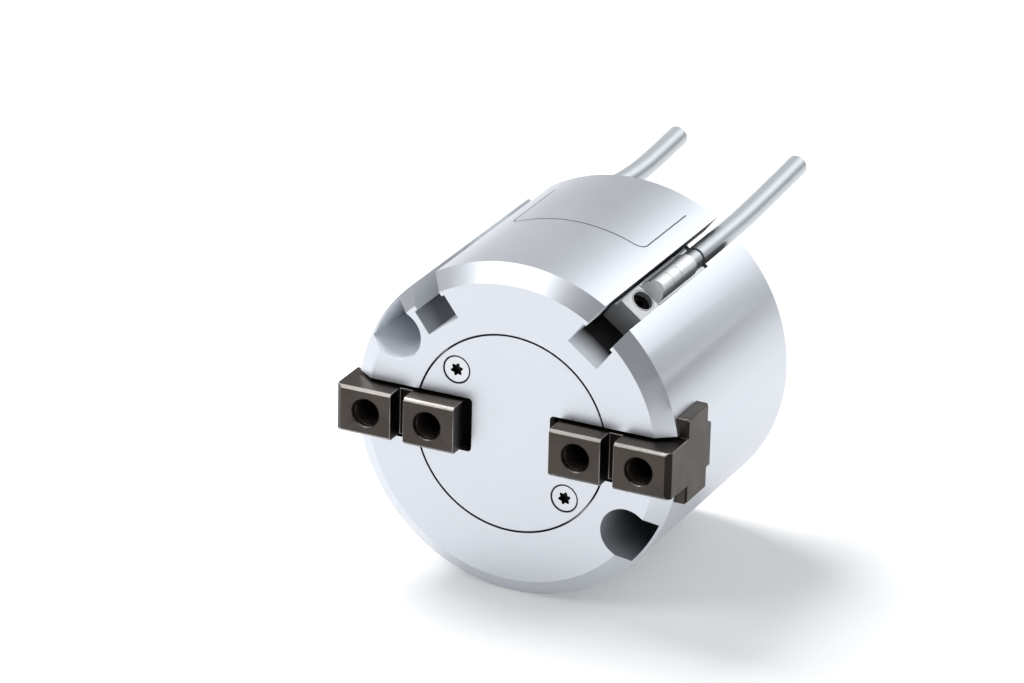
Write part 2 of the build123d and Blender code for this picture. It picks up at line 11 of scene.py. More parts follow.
import bmesh
import bpy
import numpy as np
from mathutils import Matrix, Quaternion


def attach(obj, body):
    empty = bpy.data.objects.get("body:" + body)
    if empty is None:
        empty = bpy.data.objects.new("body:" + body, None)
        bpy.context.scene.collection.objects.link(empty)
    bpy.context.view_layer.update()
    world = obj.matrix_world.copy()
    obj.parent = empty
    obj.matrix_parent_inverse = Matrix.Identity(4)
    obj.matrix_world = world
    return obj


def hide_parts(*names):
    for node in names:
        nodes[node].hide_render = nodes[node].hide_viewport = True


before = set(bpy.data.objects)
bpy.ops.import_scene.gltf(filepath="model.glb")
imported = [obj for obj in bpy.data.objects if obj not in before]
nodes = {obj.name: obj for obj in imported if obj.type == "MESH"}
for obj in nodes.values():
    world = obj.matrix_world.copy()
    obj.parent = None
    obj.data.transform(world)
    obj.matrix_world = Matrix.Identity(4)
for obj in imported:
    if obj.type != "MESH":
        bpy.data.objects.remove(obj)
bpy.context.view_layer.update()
scene = bpy.context.scene

# %% Note the sizes that several cells share
# The body, the circle on which its fixing holes and rear threads lie and their angle above or below the
# jaws' axis. Lengths are in millimetres here. Blender counts in metres, so they are divided by 1000
# where a point is made.
body_radius = 31.0
body_length = 50.0
bolt_circle_radius = 26.45
bolt_angle = math.radians(32.5)
bolt_x = bolt_circle_radius * math.cos(bolt_angle)
bolt_z = bolt_circle_radius * math.sin(bolt_angle)
print("body", 2 * body_radius, "mm wide and", body_length, "mm long")

# %% [markdown]
# ## The camera
#
# Product photographs of small parts are taken from about a metre away with a long lens, so that round
# faces stay round. The camera here stands 25 degrees to the right of the front and 23 degrees above,
# and leans by a little over 1 degree. Three plain turns, one after the other, are easier to check than
# a matrix.

# %% Stand the camera
turn_right = math.radians(25.263)
look_down = math.radians(22.884)
lean = math.radians(1.357)
lens = bpy.data.cameras.new("camera")
lens.sensor_width = 36.0
lens.lens = 205.709
camera = bpy.data.objects.new("camera", lens)
camera.location = (0.39740, -0.89233, 0.41059)
camera.rotation_mode = "QUATERNION"
camera.rotation_quaternion = (Quaternion((0, 0, 1), turn_right)
                              @ Quaternion((1, 0, 0), math.pi / 2 - look_down)
                              @ Quaternion((0, 0, 1), lean))
scene.collection.objects.link(camera)
scene.camera = camera
print("camera", round(camera.location.length, 3), "m from the middle, lens", lens.lens, "mm")

# %% [markdown]
# ## Shader maths as Python
#
# A finish is easier to read as a sum than as a row of boxes. `Value` wraps one socket, so that
# `1 - mask * 0.3` adds the Math nodes by itself. `Wiring` adds any other node from a type, its
# settings and its inputs. `Finish` is the wiring of one material with its main shader.


# %% Sockets that can be added and multiplied
class Value:
    """One socket of a node tree. Sums and products with it add Math nodes to the tree."""

    def __init__(self, finish, socket):
        self.finish = finish
        self.socket = socket

    def maths(self, operation, *terms, clamp=False):
        inputs = dict(enumerate(terms))
        settings = {"operation": operation, "use_clamp": clamp}
        return self.finish.add("ShaderNodeMath", settings, inputs)

    def __add__(self, other):
        return self.maths("ADD", self, other)

    def __sub__(self, other):
        return self.maths("SUBTRACT", self, other)

    def __rsub__(self, other):
        return self.maths("SUBTRACT", other, self)

    def __mul__(self, other):
        return self.maths("MULTIPLY", self, other)

    def __truediv__(self, other):
        return self.maths("DIVIDE", self, other)

    def __pow__(self, other):
        return self.maths("POWER", self, other)

    def clamped(self):
        return self.maths("ADD", self, 0.0, clamp=True)

    __radd__ = __add__
    __rmul__ = __mul__


class Wiring:
    """A node tree with one method that adds any node, and the few patterns used most."""

    def __init__(self, tree):
        self.tree = tree

    def join(self, socket, value):
        """A link where the value is a socket, otherwise a plain number or colour."""
        if isinstance(value, Value):
            self.tree.links.new(value.socket, socket)
        elif hasattr(value, "__len__") and len(value) == 3 and socket.type == "RGBA":
            socket.default_value = (*value, 1.0)
        else:
            socket.default_value = value

    def add(self, kind, settings=None, inputs=None, output=0):
        """A node of that kind: first its settings, a ramp's stops among them, then its inputs."""
        node = self.tree.nodes.new(kind)
        for name, value in (settings or {}).items():
            if name == "stops":
                self.set_stops(node.color_ramp, value)
            else:
                setattr(node, name, value)
        for name, value in (inputs or {}).items():
            self.join(node.inputs[name], value)
        return Value(self, node.outputs[output])

    def set_stops(self, ramp, stops):
        while len(ramp.elements) < len(stops):
            ramp.elements.new(0.5)
        for element, (place, grey) in zip(ramp.elements, stops):
            element.position = place
            element.color = (grey, grey, grey, 1.0)

    def noise(self, scale, detail, stretch=(1.0, 1.0, 1.0)):
        """Noise from 0 to 1 in the piece's own coordinates, with scale in waves for each metre."""
        place = self.add("ShaderNodeTexCoord", output="Object")
        place = self.add("ShaderNodeMapping", {}, {"Vector": place, "Scale": stretch})
        inputs = {"Vector": place, "Scale": scale, "Detail": detail}
        return self.add("ShaderNodeTexNoise", {}, inputs, "Fac")

    def tint(self, mask, low, high):
        """The colour low where the mask is 0, high where it is 1."""
        inputs = {0: mask, 6: (*low, 1.0), 7: (*high, 1.0)}
        return self.add("ShaderNodeMix", {"data_type": "RGBA"}, inputs, 2)

    def place(self, axis):
        """One of the piece's own coordinates in metres, X, Y or Z."""
        corner = self.add("ShaderNodeTexCoord", output="Object")
        return self.add("ShaderNodeSeparateXYZ", {}, {0: corner}, axis)


class Finish(Wiring):
    """One material: a main shader, and the nodes that feed it."""

    def __init__(self, name, **plain):
        self.material = bpy.data.materials.new(name)
        self.material.use_nodes = True
        super().__init__(self.material.node_tree)
        self.tree.nodes.clear()
        self.output = self.tree.nodes.new("ShaderNodeOutputMaterial")
        self.shader = self.tree.nodes.new("ShaderNodeBsdfPrincipled")
        self.tree.links.new(self.shader.outputs[0], self.output.inputs["Surface"])
        for socket, value in plain.items():
            self.feed(socket.replace("_", " "), value)

    def feed(self, socket, value):
        self.join(self.shader.inputs[socket], value)

    def relief(self, height, depth):
        """Fine relief: height from 0 to 1 stands for a depth in metres."""
        bump = self.add("ShaderNodeBump", {}, {"Height": height, "Strength": 1.0, "Distance": depth})
        self.feed("Normal", bump)


print("shader helpers ready")

# %% [markdown]
# ## The floor, the world and the lamps
#
# The photograph has a white ground with a soft shadow under the right side of the body. The floor is
# plain pale matter, lit like everything else, and only what the lens sees of it directly, or in metal,
# has some of its own light mixed in, so that it comes out white and keeps the shadow. Blasted and
# turned metal has hardly any colour of its own: it shows what is around it. So the world has two bright
# panes high behind the body and a paler side on the left, and is greyer everywhere else, as in a room
# with windows. Only the lens sees the world plain white, and that lights nothing. The Standard view
# shows these tones as they are, without a film curve.

# %% Lay the floor
scene.view_settings.view_transform = "Standard"
ground_level = -0.031
ground_half = 3.0
own_share = 0.20
floor_mesh = bpy.data.meshes.new("floor")
signs = [(-1, -1), (1, -1), (1, 1), (-1, 1)]
corners = [(x * ground_half, y * ground_half, ground_level) for x, y in signs]
floor_mesh.from_pydata(corners, [], [(0, 1, 2, 3)])
floor = bpy.data.objects.new("floor", floor_mesh)
scene.collection.objects.link(floor)
paper = Finish("white_paper", Base_Color=(0.90, 0.905, 0.91), Roughness=0.9)
sees = paper.add("ShaderNodeLightPath", output="Is Camera Ray")
mirrors = paper.add("ShaderNodeLightPath", output="Is Glossy Ray")
passes = paper.add("ShaderNodeLightPath", output="Is Transmission Ray")
own_light = paper.add("ShaderNodeEmission", {}, {"Color": (1.0, 1.0, 1.0, 1.0), "Strength": 1.15})
mixed = paper.add("ShaderNodeMixShader", {}, {0: (sees + mirrors + passes).clamped() * own_share})
paper.tree.links.new(paper.shader.outputs[0], mixed.socket.node.inputs[1])
paper.tree.links.new(own_light.socket, mixed.socket.node.inputs[2])
paper.tree.links.new(mixed.socket, paper.output.inputs["Surface"])
floor_mesh.materials.append(paper.material)
print("floor at", ground_level, "m")


# %% Shade the world
world = bpy.data.worlds.new("room")
world.use_nodes = True
scene.world = world
room = Wiring(world.node_tree)
background = room.tree.nodes["Background"]
toward = room.add("ShaderNodeTexCoord", output="Generated")


def glow(direction, narrow):
    """Light from about one direction: (0.5 + 0.5 * cosine of the angle to it) raised to a power."""
    length = math.sqrt(sum(part * part for part in direction))
    aim = tuple(part / length for part in direction)
    cosine = room.add("ShaderNodeVectorMath", {"operation": "DOT_PRODUCT"}, {0: toward, 1: aim}, "Value")
    return (cosine * 0.5 + 0.5).clamped() ** narrow


grey_room = 0.31
brightest = 2.5
black = (0.0, 0.0, 0.0)
window_white = (0.97, 0.985, 1.0)
side_window = 0.14 * glow((-0.85, 0.25, 0.45), 6.0)
back_pane = 1.85 * glow((0.25, 0.82, 0.50), 34.0)
upper_pane = 1.3 * glow((0.55, 0.50, 0.67), 50.0)
level = grey_room + side_window + back_pane + upper_pane
seen = room.add("ShaderNodeLightPath", output="Is Camera Ray")
share = seen / brightest + (1.0 - seen) * (level / brightest).clamped()
room.join(background.inputs["Color"], room.tint(share, black, window_white))
background.inputs["Strength"].default_value = brightest
print("world level from", grey_room, "to", brightest)


# %% Hang the lamps
def soft_lamp(name, place, target, size, power):
    """A square area lamp at place that faces the target."""
    light = bpy.data.lights.new(name, "AREA")
    light.shape = "SQUARE"
    light.size = size
    light.energy = power
    lamp = bpy.data.objects.new(name, light)
    lamp.location = place
    away = np.array(target) - np.array(place)
    pan = math.atan2(-away[0], away[1])
    tilt = math.atan2(math.hypot(away[0], away[1]), -away[2])
    lamp.rotation_euler = (tilt, 0.0, pan)
    scene.collection.objects.link(lamp)
    return lamp


middle = (0.0, -0.025, 0.0)
window = soft_lamp("window", (-0.72, -1.05, 1.32), middle, 0.9, 8.5)
ceiling = soft_lamp("ceiling", (-1.02, 0.38, 1.38), middle, 1.0, 34.0)
print("lamps", window.data.energy, ceiling.data.energy, "W")

# %% [markdown]
# ## The finishes
#
# Each finish has its own grain at its real size. Blasted aluminium is a fine even pebble of about a
# quarter of a millimetre that spreads every reflection; turned faces have faint rings; ground steel
# has fine lines along its length. The differences are small, and seen only where light grazes.


# %% Aluminium finishes
def dimmed(colour, share):
    """The colour with each part brought down to that share."""
    return tuple(share * part for part in colour)


def blasted(name, colour, roughness):
    """Anodised aluminium, glass-bead blasted: an even pebble, and slight clouds in its tone."""
    finish = Finish(name, Metallic=1.0)
    clouds = finish.noise(55.0, 3.0)
    grain = finish.noise(3600.0, 2.0)
    finish.feed("Base Color", finish.tint(clouds * 0.7 + grain * 0.3, dimmed(colour, 0.93), colour))
    finish.feed("Roughness", roughness + 0.08 * (grain - 0.5) + 0.05 * (clouds - 0.5))
    finish.relief(grain, 0.000012)
    return finish.material


def turned_face(name, colour, roughness, ring_scale):
    """Aluminium or bronze turned on a lathe about the Y axis: noise that depends on the radius alone."""
    finish = Finish(name, Metallic=1.0)
    x = finish.place("X")
    z = finish.place("Z")
    radius = (x * x + z * z) ** 0.5
    rings = finish.add("ShaderNodeTexNoise", {"noise_dimensions": "1D"},
                       {"W": radius, "Scale": ring_scale, "Detail": 3.0}, "Fac")
    grain = finish.noise(3000.0, 2.0)
    finish.feed("Base Color", finish.tint(rings * 0.6 + grain * 0.4, dimmed(colour, 0.92), colour))
    finish.feed("Roughness", roughness + 0.10 * (rings - 0.5))
    finish.relief(rings * 0.7 + grain * 0.3, 0.000008)
    return finish.material


def shaded_recess(name, mouth, deep, reach, metallic):
    """The same metal in a narrow recess, with painted shade in its colour.

    Its colour goes from that at the mouth, at the front face, to that deep down, over reach in metres.
    """
    finish = Finish(name, Metallic=metallic, Specular_IOR_Level=0.15)
    depth = (finish.place("Y") + body_length / 1000) / reach
    clouds = finish.noise(90.0, 3.0)
    down = (depth + 0.25 * (clouds - 0.5)).clamped()
    finish.feed("Base Color", finish.tint(down * down, mouth, deep))
    finish.feed("Roughness", 0.55 + 0.10 * clouds)
    finish.relief(finish.noise(3600.0, 2.0), 0.000010)
    return finish.material


anodised = (0.69, 0.715, 0.765)
pale = (0.90, 0.93, 0.98)
satin_anodised = blasted("satin_anodised", anodised, 0.36)
# Painted shade: each recess finish below is paler at the mouth and darker deeper in.
slot_shade = shaded_recess("slot_shade", pale, (0.006, 0.006, 0.007), 0.0066, 0.0)
left_slot_shade = shaded_recess("left_slot_shade", (0.44, 0.46, 0.50), (0.22, 0.23, 0.25), 0.0055, 0.15)
neck_shade = shaded_recess("neck_shade", (0.66, 0.69, 0.74), (0.60, 0.625, 0.67), 0.018, 0.10)
lit_pocket_shade = shaded_recess("lit_pocket_shade", pale, (0.50, 0.52, 0.56), 0.018, 0.10)
dark_pocket_shade = shaded_recess("dark_pocket_shade", (0.34, 0.355, 0.385), (0.14, 0.145, 0.16), 0.011, 0.10)
gap_shade = shaded_recess("gap_shade", (0.05, 0.05, 0.055), (0.03, 0.03, 0.033), 0.004, 0.5)
cover_anodised = turned_face("cover_anodised", anodised, 0.36, 2600.0)
turned_aluminium = turned_face("turned_aluminium", (0.78, 0.79, 0.80), 0.28, 1800.0)
bush_bronze = turned_face("bush_bronze", (0.62, 0.44, 0.22), 0.34, 2200.0)
print("aluminium and bronze finishes ready")


# %% Steel finishes
along_x = (0.04, 1.0, 1.0)
every_way = (1.0, 1.0, 1.0)


def ground(name, colour, worn, roughness, along=along_x):
    """Ground steel: noise drawn out along X into fine lines, with lighter rubbed patches."""
    finish = Finish(name, Metallic=1.0)
    lines = finish.noise(5200.0, 3.0, along)
    patches = finish.noise(160.0, 4.0)
    bright_zone = finish.add("ShaderNodeValToRGB", {"stops": [(0.45, 0.0), (0.75, 1.0)]}, {0: patches})
    finish.feed("Base Color", finish.tint(bright_zone * 0.35 + lines * 0.25, colour, worn))
    finish.feed("Roughness", roughness + 0.12 * (lines - 0.5) - 0.05 * bright_zone)
    finish.relief(lines, 0.000010)
    return finish.material


dark_jaw_steel = ground("dark_jaw_steel", (0.062, 0.053, 0.047), (0.100, 0.088, 0.079), 0.42)
# Brighter finish for the jaws' sloped edges and bevels: partly wear, partly a painted highlight.
jaw_edge_wear_and_highlight = ground("jaw_edge_wear_and_highlight", (0.24, 0.225, 0.21), (0.36, 0.34, 0.32), 0.36)
shaded_jaw = ground("shaded_jaw", (0.020, 0.018, 0.017), (0.036, 0.032, 0.030), 0.45)
ground_steel = ground("ground_steel", (0.50, 0.50, 0.51), (0.60, 0.60, 0.61), 0.25)
spring_steel = ground("spring_steel", (0.16, 0.16, 0.17), (0.26, 0.26, 0.27), 0.32, every_way)
bright_screw = ground("bright_screw", (0.62, 0.64, 0.67), (0.72, 0.74, 0.77), 0.27, every_way)
dark_screw = ground("dark_screw", (0.010, 0.010, 0.011), (0.022, 0.022, 0.024), 0.40, every_way)
print("steel finishes ready")


# %% Rubber, plastic and magnet
def moulded(name, colour, roughness, grain_scale, depth, coat=0.0, metallic=0.0):
    """Moulded or extruded matter: one colour with slight clouds and a fine skin, its depth in metres."""
    finish = Finish(name, Metallic=metallic, Coat_Weight=coat, Coat_Roughness=0.2)
    clouds = finish.noise(120.0, 3.0)
    skin = finish.noise(grain_scale, 2.0)
    finish.feed("Base Color", finish.tint(clouds * 0.6 + skin * 0.4, dimmed(colour, 0.92), colour))
    finish.feed("Roughness", roughness + 0.05 * (skin - 0.5))
    if depth:
        finish.relief(skin, depth)
    return finish.material


black_rubber = moulded("black_rubber", (0.018, 0.018, 0.019), 0.62, 2600.0, 0.000012)
magnet_grey = moulded("magnet_grey", (0.045, 0.045, 0.048), 0.50, 3800.0, 0.000016)
sensor_shell = moulded("sensor_shell", (0.90, 0.92, 0.93), 0.34, 3400.0, 0.000002, 0.2, 0.45)
lead_jacket = moulded("lead_jacket", (0.54, 0.575, 0.60), 0.30, 1200.0, 0.0, 0.25, 0.60)
dark_groove = moulded("dark_groove", (0.02, 0.021, 0.022), 0.50, 2400.0, 0.000006)
print("rubber, plastic and magnet finishes ready")

# %% [markdown]
# ## The two leads
#
# Each switch has a round three core lead, 4 mm thick. It is a soft thing, so it isn't bent like wire: a
# few points carry a smooth spline that passes near them. Each route starts straight out of the strain
# relief, and its points are given in millimetres across the slot, outwards from the body and backwards.

# %% Carry the routes to the body
# Each slot is turned by 37 degrees from the top, and the middle of its lead lies 28.4 mm from the axis.
slot_turn = math.radians(37.0)
sensor_top = 28.4
lead_radius = 0.002
right_start = 38.4
left_start = 44.8
right_route = [(0, 0, 0), (0, 0, 10.5), (0.2, 0.4, 24.5), (1.3, 1.7, 45.5)]
left_route = [(0, 0, 0), (0, 0, 7), (0.1, -2.1, 15), (0.6, -4.7, 24), (1.6, -5.3, 33),
              (2.3, -4.85, 42.5), (3.0, -4.2, 51.2)]


def slot_route(route, side, start_depth):
    """Points in metres: side is -1 for the slot on the right and 1 for the one on the left.

    The start is the depth below the front face at which the lead leaves its strain relief.
    """
    up, out, back = np.array(route, float).T
    across = side * up
    away = sensor_top + out
    turn = side * slot_turn
    x = across * math.cos(turn) - away * math.sin(turn)
    z = across * math.sin(turn) + away * math.cos(turn)
    y = start_depth + back - body_length
    return np.stack([x, y, z], 1) / 1000.0


# %% Draw the leads
def soft_lead(name, node, body, points):
    """A smooth round lead near the points, with closed ends."""
    curve = bpy.data.curves.new(name, "CURVE")
    curve.dimensions = "3D"
    curve.bevel_depth = lead_radius
    curve.bevel_resolution = 8
    curve.resolution_u = 16
    curve.use_fill_caps = True
    spline = curve.splines.new("NURBS")
    spline.points.add(len(points) - 1)
    spline.points.foreach_set("co", np.column_stack([points, np.ones(len(points))]).ravel())
    spline.order_u = 3
    spline.use_endpoint_u = True
    curve.materials.append(lead_jacket)
    lead = bpy.data.objects.new(name, curve)
    scene.collection.objects.link(lead)
    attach(lead, body)
    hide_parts(node)


right_points = slot_route(right_route, -1, right_start)
left_points = slot_route(left_route, 1, left_start)
soft_lead("lead_right", "sensor_right_lead", "sensor_right", right_points)
soft_lead("lead_left", "sensor_left_lead", "sensor_left", left_points)
print("leads start at", right_points[0], "and", left_points[0])

# %% [markdown]
# ## Edges that catch the light
#
# A machined part never has a perfectly sharp edge, and the thin bright line along it is what makes it
# look real. The CAD pieces are loose triangles, so a copy of each is merged, its flat faces are made
# whole again, its round faces are shaded smooth, and a narrow bevel goes round what is left sharp. The
# copy then stands for the solid piece.


# %% Make a dressed copy
merge_distance = 0.000002
flat_within = math.radians(0.6)
sharp_from = math.radians(28.0)
highlit_edge_from = math.radians(50.0)


def dressed(node, body, material, edge, zones, bright_zone):
    """A merged copy of a CAD node with smooth round faces and edges of that width in metres.

    A zone is a second finish and a test: it gets the faces for which the test is true. The test sees
    each face's middle in millimetres and its normal. The last argument is the number of the zone whose
    brighter finish the steep edges take, partly wear and partly a painted highlight; at -1 every edge
    keeps the finish of the face beside it.
    """
    mesh = nodes[node].data.copy()
    shape = bmesh.new()
    shape.from_mesh(mesh)
    bmesh.ops.remove_doubles(shape, verts=shape.verts, dist=merge_distance)
    bmesh.ops.dissolve_limit(shape, angle_limit=flat_within, verts=shape.verts, edges=shape.edges)
    shape.to_mesh(mesh)
    shape.free()
    mesh.shade_smooth()
    mesh.set_sharp_from_angle(angle=sharp_from)
    mesh.materials.clear()
    mesh.materials.append(material)
    middles = np.zeros(3 * len(mesh.polygons))
    normals = np.zeros(3 * len(mesh.polygons))
    mesh.polygons.foreach_get("center", middles)
    mesh.polygons.foreach_get("normal", normals)
    finish_of = np.zeros(len(mesh.polygons), int)
    for number, (zone_material, test) in enumerate(zones, 1):
        mesh.materials.append(zone_material)
        finish_of[test(middles.reshape(-1, 3) * 1000.0, normals.reshape(-1, 3))] = number
    mesh.polygons.foreach_set("material_index", finish_of)
    piece = bpy.data.objects.new(node + "_dressed", mesh)
    scene.collection.objects.link(piece)
    bevel = piece.modifiers.new("edge", "BEVEL")
    bevel.width = edge
    bevel.segments = 2
    bevel.limit_method = "ANGLE"
    bevel.angle_limit = sharp_from if bright_zone < 0 else highlit_edge_from
    bevel.harden_normals = True
    bevel.use_clamp_overlap = True
    bevel.material = bright_zone
    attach(piece, body)
    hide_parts(node)
    return piece


# %% [markdown]
# ## Where the light doesn't reach
#
# The slots, the counterbores and the gap round the jaws look far darker than the open faces: they see
# little of the room, and their finishes have that shade painted into the colour. Each such place has
# a test below, written with the radius from the gripper's axis and the depth below its front face,
# both in millimetres.


# %% Note where the recesses are
# All in millimetres, most with a little to spare. A reach is half a width, or a radius about a middle
# line. Outer is a radius just inside the round wall. A floor, mouth or rear is a depth below the front
# face. The jaws' holes, and the start and end of the groove between their blocks, are places along X.
below_front = 0.05
slot_reach = 3.6
slot_floor_radius = 22.0
slot_outer = 30.9
slot_rear = 49.9
neck_radius = 26.8
pocket_reach = 5.6
pocket_outer = 30.6
way_reach = 8.2
way_floor = 14.0
way_outer = 30.8
seat_radius = 18.55
seat_slack = 0.05
seat_floor = 2.1
rim_radius = 17.0
screw_circle_radius = 14.6
screw_angle = math.radians(43.3)
screw_x = screw_circle_radius * math.cos(screw_angle)
screw_z = screw_circle_radius * math.sin(screw_angle)
ring_reach = 2.75
star_reach = 1.3
star_mouth = 0.15
star_floor = 1.25
jaw_holes = (14.3, 26.3)
hole_reach = 2.6
hole_outer = 30.0
groove_start = 18.9
groove_end = 21.5
groove_mouth = 0.3
switch_groove_radius = 2.03
switch_groove_slack = 0.03
collar_end_radius = 1.6

# A face is square, facing or leaning towards an axis where its normal has at least that part along it.
square = 0.95
facing = 0.9
leaning = 0.6
half_leaning = 0.5
print("switches", sensor_top, "mm from the axis, fixing holes", bolt_circle_radius, "mm from it")


# %% Tests for the recesses
def around_axis(middles, x=0.0, z=0.0):
    """Distance of each middle from a line along Y."""
    return np.hypot(middles[:, 0] - x, middles[:, 2] - z)


def around_screw(middles):
    """Distance of each middle from the axis of the nearer cover screw."""
    return np.minimum(around_axis(middles, screw_x, -screw_z), around_axis(middles, -screw_x, screw_z))


def depth_of(middles):
    return middles[:, 1] + body_length


def slot_frame(middles, side):
    """Distance across a slot and outwards from the axis; side is -1 for the right slot, 1 for the left."""
    turn = side * slot_turn
    across = middles[:, 0] * math.cos(turn) + middles[:, 2] * math.sin(turn)
    away = middles[:, 2] * math.cos(turn) - middles[:, 0] * math.sin(turn)
    return across, away


def around_switch(middles):
    """Distance of each middle from the middle line of the nearer switch."""
    across, away = slot_frame(middles, -1)
    right = np.hypot(across, away - sensor_top)
    across, away = slot_frame(middles, 1)
    left = np.hypot(across, away - sensor_top)
    return np.minimum(right, left)


def in_slot(side):
    """A test for the inside of one T slot, without the round wall and the two end faces."""
    def test(middles, normals):
        across, away = slot_frame(middles, side)
        depth = depth_of(middles)
        inside_slot = (np.abs(across) < slot_reach) & (away > slot_floor_radius)
        inside_slot &= around_axis(middles) < slot_outer
        return inside_slot & (depth > below_front) & (depth < slot_rear)
    return test


def on_neck_wall(middles, normals):
    """The outer wall of the left slot's neck, which faces right and shows beyond the crest of the body."""
    away = slot_frame(middles, 1)[1]
    return in_slot(1)(middles, normals) & (normals[:, 0] > half_leaning) & (away > neck_radius)


def in_pocket(side):
    """A test for the inside of one counterbore; side is -1 for the upper left one, 1 for the other."""
    def test(middles, normals):
        near = around_axis(middles, side * bolt_x, -side * bolt_z) < pocket_reach
        near &= (around_axis(middles) < pocket_outer) & (depth_of(middles) > below_front)
        return near & (np.abs(normals[:, 1]) < facing)
    return test


def in_way(middles, normals):
    """Inside the jaws' T-shaped way, and on the wall of the cover's seat."""
    depth = depth_of(middles)
    way = (np.abs(middles[:, 2]) < way_reach) & (around_axis(middles) < way_outer) & (depth < way_floor)
    way &= np.abs(normals).max(axis=1) > square
    seat = (np.abs(around_axis(middles) - seat_radius) < seat_slack) & (depth < seat_floor)
    return (way | seat) & (depth > below_front)


def on_cover_edge(middles, normals):
    """The cover's rim and the rings round its two screws."""
    rim = (around_axis(middles) > rim_radius) & (np.abs(normals[:, 1]) < half_leaning)
    return (rim | (around_screw(middles) < ring_reach)) & (depth_of(middles) > below_front)


def in_star(middles, normals):
    """Inside the star sockets of the two cover screws."""
    depth = depth_of(middles)
    return (around_screw(middles) < star_reach) & (depth > star_mouth) & (depth < star_floor)


def on_front_slope(middles, normals):
    """The 45 degree edges along the top and foot of the jaws' blocks, brighter: partly wear, partly a
    painted highlight.
    """
    slope = (np.abs(normals[:, 2]) > leaning) & (np.abs(normals[:, 1]) > leaning)
    return slope & (depth_of(middles) < 0.0)


def in_jaw_shade(middles, normals):
    """The jaws' holes, the groove between the blocks and the slopes at the blocks' ends."""
    out = np.abs(middles[:, 0])
    hole = (np.abs(middles[:, 2]) < hole_reach) & (np.abs(normals[:, 1]) < leaning)
    hole &= around_axis(middles) < hole_outer
    hole &= (np.abs(out - jaw_holes[0]) < hole_reach) | (np.abs(out - jaw_holes[1]) < hole_reach)
    groove = (out > groove_start) & (out < groove_end) & (depth_of(middles) < groove_mouth)
    end_slope = (np.abs(normals[:, 0]) > leaning) & (normals[:, 1] < -leaning)
    return hole | groove | end_slope


def sensor_grooves(middles, normals):
    """The fine grooves round the switch: narrow faces near its round part's surface."""
    return np.abs(around_switch(middles) - switch_groove_radius) < switch_groove_slack


def collar_grooves(middles, normals):
    """Both narrow ends of the collar."""
    return around_switch(middles) < collar_end_radius


# %% Dress what is seen
housing_zones = [(slot_shade, in_slot(-1)), (left_slot_shade, in_slot(1)), (neck_shade, on_neck_wall),
                 (lit_pocket_shade, in_pocket(-1)), (dark_pocket_shade, in_pocket(1)), (gap_shade, in_way)]
jaw_zones = [(jaw_edge_wear_and_highlight, on_front_slope), (shaded_jaw, in_jaw_shade)]
switch_zones = [(dark_groove, sensor_grooves)]
collar_zones = [(dark_groove, collar_grooves)]
wanted = [
    ("housing", "housing", satin_anodised, 0.00012, housing_zones, "satin_anodised"),
    ("front_cover", "housing", cover_anodised, 0.00010, [(gap_shade, on_cover_edge)], "satin_anodised"),
    ("cover_screws", "housing", bright_screw, 0.00004, [(shaded_jaw, in_star)], "bright_screw"),
    ("jaw_right", "jaw_right", dark_jaw_steel, 0.00012, jaw_zones, "dark_jaw_steel"),
    ("jaw_left", "jaw_left", dark_jaw_steel, 0.00012, jaw_zones, "dark_jaw_steel"),
    ("rear_cap", "housing", turned_aluminium, 0.00010, (), "turned_aluminium"),
    ("retaining_ring", "housing", spring_steel, 0.00008, (), "spring_steel"),
    ("sensor_right", "sensor_right", sensor_shell, 0.00005, switch_zones, "sensor_shell"),
    ("sensor_left", "sensor_left", sensor_shell, 0.00005, switch_zones, "sensor_shell"),
    ("sensor_right_collar", "sensor_right", lead_jacket, 0.00010, collar_zones, "lead_jacket"),
    ("sensor_left_collar", "sensor_left", lead_jacket, 0.00010, collar_zones, "lead_jacket"),
    ("sensor_right_screw", "sensor_right", dark_screw, 0.00005, (), "dark_screw"),
    ("sensor_left_screw", "sensor_left", dark_screw, 0.00005, (), "dark_screw"),
]
for node, body, material, edge, zones, slot_name in wanted:
    # The jaws' steep edges take the brighter edge finish: partly wear, partly a painted highlight.
    bright_zone = 1 if zones is jaw_zones else -1
    piece = dressed(node, body, material, edge, zones, bright_zone)
    share = np.bincount([face.material_index for face in piece.data.polygons], minlength=1 + len(zones))
    print(node, "dressed, faces of each finish", share.tolist())

# %% [markdown]
# ## The pieces inside
#
# Nobody sees these until the gripper is taken apart. Their solid shapes are right as they are, so they
# only change their finish.

# %% Finish the inner pieces
inside = {
    "rear_cap_seal": black_rubber, "rod_bush": bush_bronze, "rod_seal": black_rubber,
    "rod_seal_washer": ground_steel, "front_bumper": black_rubber, "rear_bumper": black_rubber,
    "wedge_cam": ground_steel, "piston": turned_aluminium, "piston_seal": black_rubber,
    "ring_magnet": magnet_grey, "magnet_holder": turned_aluminium, "piston_screw": dark_screw,
}
for node, material in inside.items():
    nodes[node].material_slots[0].material = material
print(len(inside), "inner pieces finished")

# %% [markdown]
# ## Threads in the tapped holes
#
# A tapped hole shows as a stack of thin bright rings. The thread is a surface with two parameters, the
# angle round the hole and the place across one ridge. It starts a little below the mouth and runs down.


# %% Wind a thread
def grid_mesh(name, points):
    """A mesh of quads through a grid of points with the shape rows, columns, 3."""
    rows, columns = points.shape[:2]
    first = np.arange(rows * columns).reshape(rows, columns)
    quads = np.stack([first[:-1, :-1], first[1:, :-1], first[1:, 1:], first[:-1, 1:]], -1)
    mesh = bpy.data.meshes.new(name)
    mesh.from_pydata(points.reshape(-1, 3).tolist(), [], quads.reshape(-1, 4).tolist())
    mesh.shade_smooth()
    return mesh


steps_in_turn = 28


